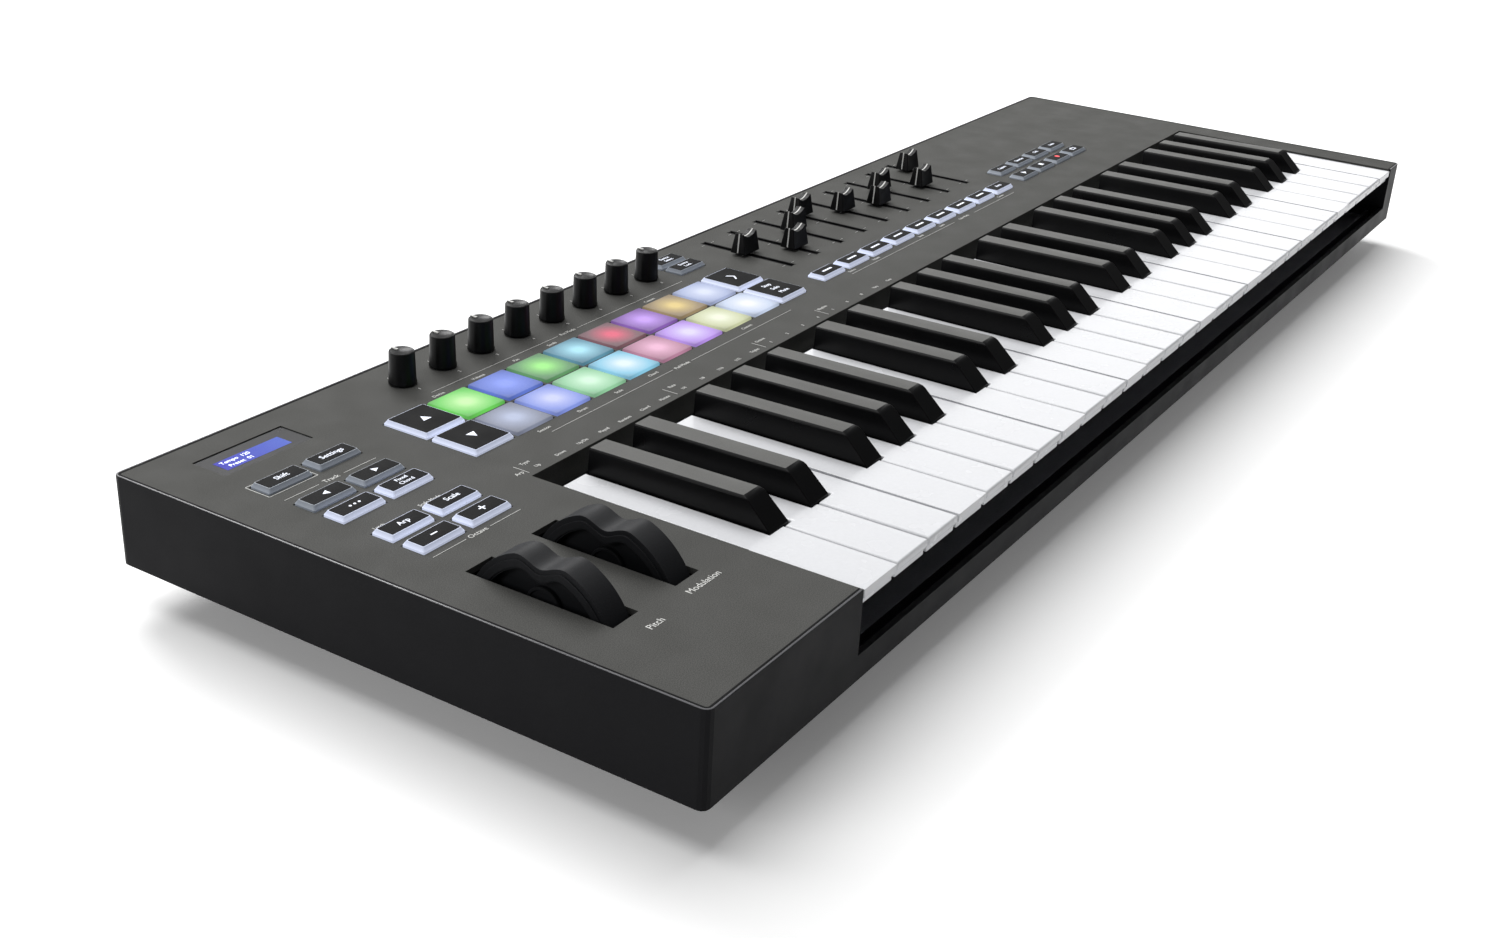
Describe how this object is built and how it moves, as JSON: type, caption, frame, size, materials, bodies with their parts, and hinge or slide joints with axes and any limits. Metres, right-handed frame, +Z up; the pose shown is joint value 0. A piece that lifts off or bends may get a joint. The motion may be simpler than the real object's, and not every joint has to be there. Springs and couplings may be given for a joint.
{
  "type": "synthesizer",
  "caption": "Compact keyboard synthesizer with piano-style keys, pitch and modulation wheels, lit drum pads, knobs, faders, transport buttons and a small display.",
  "frame": {"origin": "middle of the footprint, on the surface that the feet stand on", "axes": "+X along the keyboard from low keys to high, +Y from the player to the back, +Z up"},
  "size_m": [0.7954, 0.257, 0.0672],
  "materials": {
    "case_black": "smooth satin black",
    "panel_grey": "fine-grained matte dark grey",
    "key_white": "glossy white",
    "key_black": "satin black",
    "control_black": "glossy black",
    "wheel_rubber": "soft-touch black",
    "silicone": "translucent, lit from below",
    "circuit_green": "solder-masked board",
    "chassis_grey": "grey coated steel sheet",
    "steel": "bright",
    "display_glass": "clear window over a dark mask",
    "display_blue": "lit blue display",
    "foot_rubber": "soft black"
  },
  "bodies": {
    "root": {"base_case": "case_black", "top_panel": "panel_grey", "keybed_chassis": "chassis_grey", "key_contact_board": "circuit_green", "main_board": "circuit_green", "left_control_board": "circuit_green", "pad_sensor_board": "circuit_green", "knob_board": "circuit_green", "fader_board": "circuit_green", "transport_board": "circuit_green", "display_window": "display_glass", "display_module": "display_blue", "wheel_bracket": "chassis_grey", "wheel_axle": "steel", "usb_socket": "steel", "midi_socket": "control_black", "pedal_socket": "control_black", "foot_front_left": "foot_rubber", "foot_front_right": "foot_rubber", "foot_rear_left": "foot_rubber", "foot_rear_right": "foot_rubber"},
    "white_keys_a_octave_1": {"white_keys_a_octave_1": "key_white"},
    "white_keys_b_octave_1": {"white_keys_b_octave_1": "key_white"},
    "black_keys_octave_1": {"black_keys_octave_1": "key_black"},
    "white_keys_a_octave_2": {"white_keys_a_octave_2": "key_white"},
    "white_keys_b_octave_2": {"white_keys_b_octave_2": "key_white"},
    "black_keys_octave_2": {"black_keys_octave_2": "key_black"},
    "white_keys_a_octave_3": {"white_keys_a_octave_3": "key_white"},
    "white_keys_b_octave_3": {"white_keys_b_octave_3": "key_white"},
    "black_keys_octave_3": {"black_keys_octave_3": "key_black"},
    "white_keys_a_octave_4": {"white_keys_a_octave_4": "key_white"},
    "white_keys_b_octave_4": {"white_keys_b_octave_4": "key_white"},
    "black_keys_octave_4": {"black_keys_octave_4": "key_black"},
    "white_key_top": {"white_key_top": "key_white"},
    "pitch_wheel": {"pitch_wheel": "wheel_rubber"},
    "modulation_wheel": {"modulation_wheel": "wheel_rubber"},
    "knob_1": {"knob_1": "control_black"},
    "knob_2": {"knob_2": "control_black"},
    "knob_3": {"knob_3": "control_black"},
    "knob_4": {"knob_4": "control_black"},
    "knob_5": {"knob_5": "control_black"},
    "knob_6": {"knob_6": "control_black"},
    "knob_7": {"knob_7": "control_black"},
    "knob_8": {"knob_8": "control_black"},
    "fader_1": {"fader_1": "control_black"},
    "fader_2": {"fader_2": "control_black"},
    "fader_3": {"fader_3": "control_black"},
    "fader_4": {"fader_4": "control_black"},
    "fader_5": {"fader_5": "control_black"},
    "fader_6": {"fader_6": "control_black"},
    "fader_7": {"fader_7": "control_black"},
    "fader_8": {"fader_8": "control_black"},
    "fader_9": {"fader_9": "control_black"},
    "pad_mat": {"pad_mat": "silicone"},
    "left_button_mat": {"left_button_mat": "silicone"},
    "scroll_button_mat": {"scroll_button_mat": "silicone"},
    "scene_button_mat": {"scene_button_mat": "silicone"},
    "device_button_mat": {"device_button_mat": "silicone"},
    "fader_button_mat": {"fader_button_mat": "silicone"},
    "transport_button_mat": {"transport_button_mat": "silicone"}
  },
  "joints": [
    {"name": "white_keys_a_octave_1_press", "type": "hinge", "parent": "root", "child": "white_keys_a_octave_1", "pos_m": [-0.2222, 0.0615, 0.03695], "axis": [1, 0, 0], "range_deg": [0, 3], "stiffness_Nm_per_rad": 2, "springref_deg": -28.65},
    {"name": "white_keys_b_octave_1_press", "type": "hinge", "parent": "root", "child": "white_keys_b_octave_1", "pos_m": [-0.2222, 0.0615, 0.03295], "axis": [1, 0, 0], "range_deg": [0, 3], "stiffness_Nm_per_rad": 1.5, "springref_deg": -28.65},
    {"name": "black_keys_octave_1_press", "type": "hinge", "parent": "root", "child": "black_keys_octave_1", "pos_m": [-0.2222, 0.0615, 0.02895], "axis": [1, 0, 0], "range_deg": [0, 3], "stiffness_Nm_per_rad": 2.5, "springref_deg": -28.65},
    {"name": "white_keys_a_octave_2_press", "type": "hinge", "parent": "root", "child": "white_keys_a_octave_2", "pos_m": [-0.0577, 0.0615, 0.03695], "axis": [1, 0, 0], "range_deg": [0, 3], "stiffness_Nm_per_rad": 2, "springref_deg": -28.65},
    {"name": "white_keys_b_octave_2_press", "type": "hinge", "parent": "root", "child": "white_keys_b_octave_2", "pos_m": [-0.0577, 0.0615, 0.03295], "axis": [1, 0, 0], "range_deg": [0, 3], "stiffness_Nm_per_rad": 1.5, "springref_deg": -28.65},
    {"name": "black_keys_octave_2_press", "type": "hinge", "parent": "root", "child": "black_keys_octave_2", "pos_m": [-0.0577, 0.0615, 0.02895], "axis": [1, 0, 0], "range_deg": [0, 3], "stiffness_Nm_per_rad": 2.5, "springref_deg": -28.65},
    {"name": "white_keys_a_octave_3_press", "type": "hinge", "parent": "root", "child": "white_keys_a_octave_3", "pos_m": [0.1068, 0.0615, 0.03695], "axis": [1, 0, 0], "range_deg": [0, 3], "stiffness_Nm_per_rad": 2, "springref_deg": -28.65},
    {"name": "white_keys_b_octave_3_press", "type": "hinge", "parent": "root", "child": "white_keys_b_octave_3", "pos_m": [0.1068, 0.0615, 0.03295], "axis": [1, 0, 0], "range_deg": [0, 3], "stiffness_Nm_per_rad": 1.5, "springref_deg": -28.65},
    {"name": "black_keys_octave_3_press", "type": "hinge", "parent": "root", "child": "black_keys_octave_3", "pos_m": [0.1068, 0.0615, 0.02895], "axis": [1, 0, 0], "range_deg": [0, 3], "stiffness_Nm_per_rad": 2.5, "springref_deg": -28.65},
    {"name": "white_keys_a_octave_4_press", "type": "hinge", "parent": "root", "child": "white_keys_a_octave_4", "pos_m": [0.2713, 0.0615, 0.03695], "axis": [1, 0, 0], "range_deg": [0, 3], "stiffness_Nm_per_rad": 2, "springref_deg": -28.65},
    {"name": "white_keys_b_octave_4_press", "type": "hinge", "parent": "root", "child": "white_keys_b_octave_4", "pos_m": [0.2713, 0.0615, 0.03295], "axis": [1, 0, 0], "range_deg": [0, 3], "stiffness_Nm_per_rad": 1.5, "springref_deg": -28.65},
    {"name": "black_keys_octave_4_press", "type": "hinge", "parent": "root", "child": "black_keys_octave_4", "pos_m": [0.2713, 0.0615, 0.02895], "axis": [1, 0, 0], "range_deg": [0, 3], "stiffness_Nm_per_rad": 2.5, "springref_deg": -28.65},
    {"name": "white_key_top_press", "type": "hinge", "parent": "root", "child": "white_key_top", "pos_m": [0.3653, 0.0615, 0.03695], "axis": [1, 0, 0], "range_deg": [0, 3], "stiffness_Nm_per_rad": 0.5, "springref_deg": -28.65},
    {"name": "pitch_wheel_turn", "type": "hinge", "parent": "root", "child": "pitch_wheel", "pos_m": [-0.3694, -0.048, 0.0368], "axis": [1, 0, 0], "range_deg": [-28, 28], "stiffness_Nm_per_rad": 0.15},
    {"name": "modulation_wheel_turn", "type": "hinge", "parent": "root", "child": "modulation_wheel", "pos_m": [-0.3351, -0.048, 0.0368], "axis": [1, 0, 0], "range_deg": [-28, 28]},
    {"name": "knob_1_turn", "type": "hinge", "parent": "root", "child": "knob_1", "pos_m": [-0.27025, 0.1071, 0.0532], "axis": [0, 0, 1], "range_deg": [-140, 140]},
    {"name": "knob_2_turn", "type": "hinge", "parent": "root", "child": "knob_2", "pos_m": [-0.2459, 0.1071, 0.0532], "axis": [0, 0, 1], "range_deg": [-140, 140]},
    {"name": "knob_3_turn", "type": "hinge", "parent": "root", "child": "knob_3", "pos_m": [-0.22155, 0.1071, 0.0532], "axis": [0, 0, 1], "range_deg": [-140, 140]},
    {"name": "knob_4_turn", "type": "hinge", "parent": "root", "child": "knob_4", "pos_m": [-0.1972, 0.1071, 0.0532], "axis": [0, 0, 1], "range_deg": [-140, 140]},
    {"name": "knob_5_turn", "type": "hinge", "parent": "root", "child": "knob_5", "pos_m": [-0.17285, 0.1071, 0.0532], "axis": [0, 0, 1], "range_deg": [-140, 140]},
    {"name": "knob_6_turn", "type": "hinge", "parent": "root", "child": "knob_6", "pos_m": [-0.1485, 0.1071, 0.0532], "axis": [0, 0, 1], "range_deg": [-140, 140]},
    {"name": "knob_7_turn", "type": "hinge", "parent": "root", "child": "knob_7", "pos_m": [-0.12415, 0.1071, 0.0532], "axis": [0, 0, 1], "range_deg": [-140, 140]},
    {"name": "knob_8_turn", "type": "hinge", "parent": "root", "child": "knob_8", "pos_m": [-0.0998, 0.1071, 0.0532], "axis": [0, 0, 1], "range_deg": [-140, 140]},
    {"name": "fader_1_slide", "type": "slide", "parent": "root", "child": "fader_1", "axis": [0, 1, 0], "range_m": [-0.0258, 0.0226]},
    {"name": "fader_2_slide", "type": "slide", "parent": "root", "child": "fader_2", "axis": [0, 1, 0], "range_m": [-0.0115, 0.0369]},
    {"name": "fader_3_slide", "type": "slide", "parent": "root", "child": "fader_3", "axis": [0, 1, 0], "range_m": [-0.0269, 0.0215]},
    {"name": "fader_4_slide", "type": "slide", "parent": "root", "child": "fader_4", "axis": [0, 1, 0], "range_m": [-0.0379, 0.0105]},
    {"name": "fader_5_slide", "type": "slide", "parent": "root", "child": "fader_5", "axis": [0, 1, 0], "range_m": [-0.0253, 0.0231]},
    {"name": "fader_6_slide", "type": "slide", "parent": "root", "child": "fader_6", "axis": [0, 1, 0], "range_m": [-0.0162, 0.0322]},
    {"name": "fader_7_slide", "type": "slide", "parent": "root", "child": "fader_7", "axis": [0, 1, 0], "range_m": [-0.0295, 0.0189]},
    {"name": "fader_8_slide", "type": "slide", "parent": "root", "child": "fader_8", "axis": [0, 1, 0], "range_m": [-0.0153, 0.0331]},
    {"name": "fader_9_slide", "type": "slide", "parent": "root", "child": "fader_9", "axis": [0, 1, 0], "range_m": [-0.0375, 0.0109]},
    {"name": "pad_mat_press", "type": "slide", "parent": "root", "child": "pad_mat", "axis": [0, 0, -1], "range_m": [0, 0.0008], "stiffness_N_per_m": 400, "springref_m": -0.003},
    {"name": "left_button_mat_press", "type": "slide", "parent": "root", "child": "left_button_mat", "axis": [0, 0, -1], "range_m": [0, 0.0008], "stiffness_N_per_m": 400, "springref_m": -0.003},
    {"name": "scroll_button_mat_press", "type": "slide", "parent": "root", "child": "scroll_button_mat", "axis": [0, 0, -1], "range_m": [0, 0.0008], "stiffness_N_per_m": 400, "springref_m": -0.003},
    {"name": "scene_button_mat_press", "type": "slide", "parent": "root", "child": "scene_button_mat", "axis": [0, 0, -1], "range_m": [0, 0.0008], "stiffness_N_per_m": 400, "springref_m": -0.003},
    {"name": "device_button_mat_press", "type": "slide", "parent": "root", "child": "device_button_mat", "axis": [0, 0, -1], "range_m": [0, 0.0008], "stiffness_N_per_m": 400, "springref_m": -0.003},
    {"name": "fader_button_mat_press", "type": "slide", "parent": "root", "child": "fader_button_mat", "axis": [0, 0, -1], "range_m": [0, 0.0008], "stiffness_N_per_m": 400, "springref_m": -0.003},
    {"name": "transport_button_mat_press", "type": "slide", "parent": "root", "child": "transport_button_mat", "axis": [0, 0, -1], "range_m": [0, 0.0008], "stiffness_N_per_m": 400, "springref_m": -0.003}
  ]
}
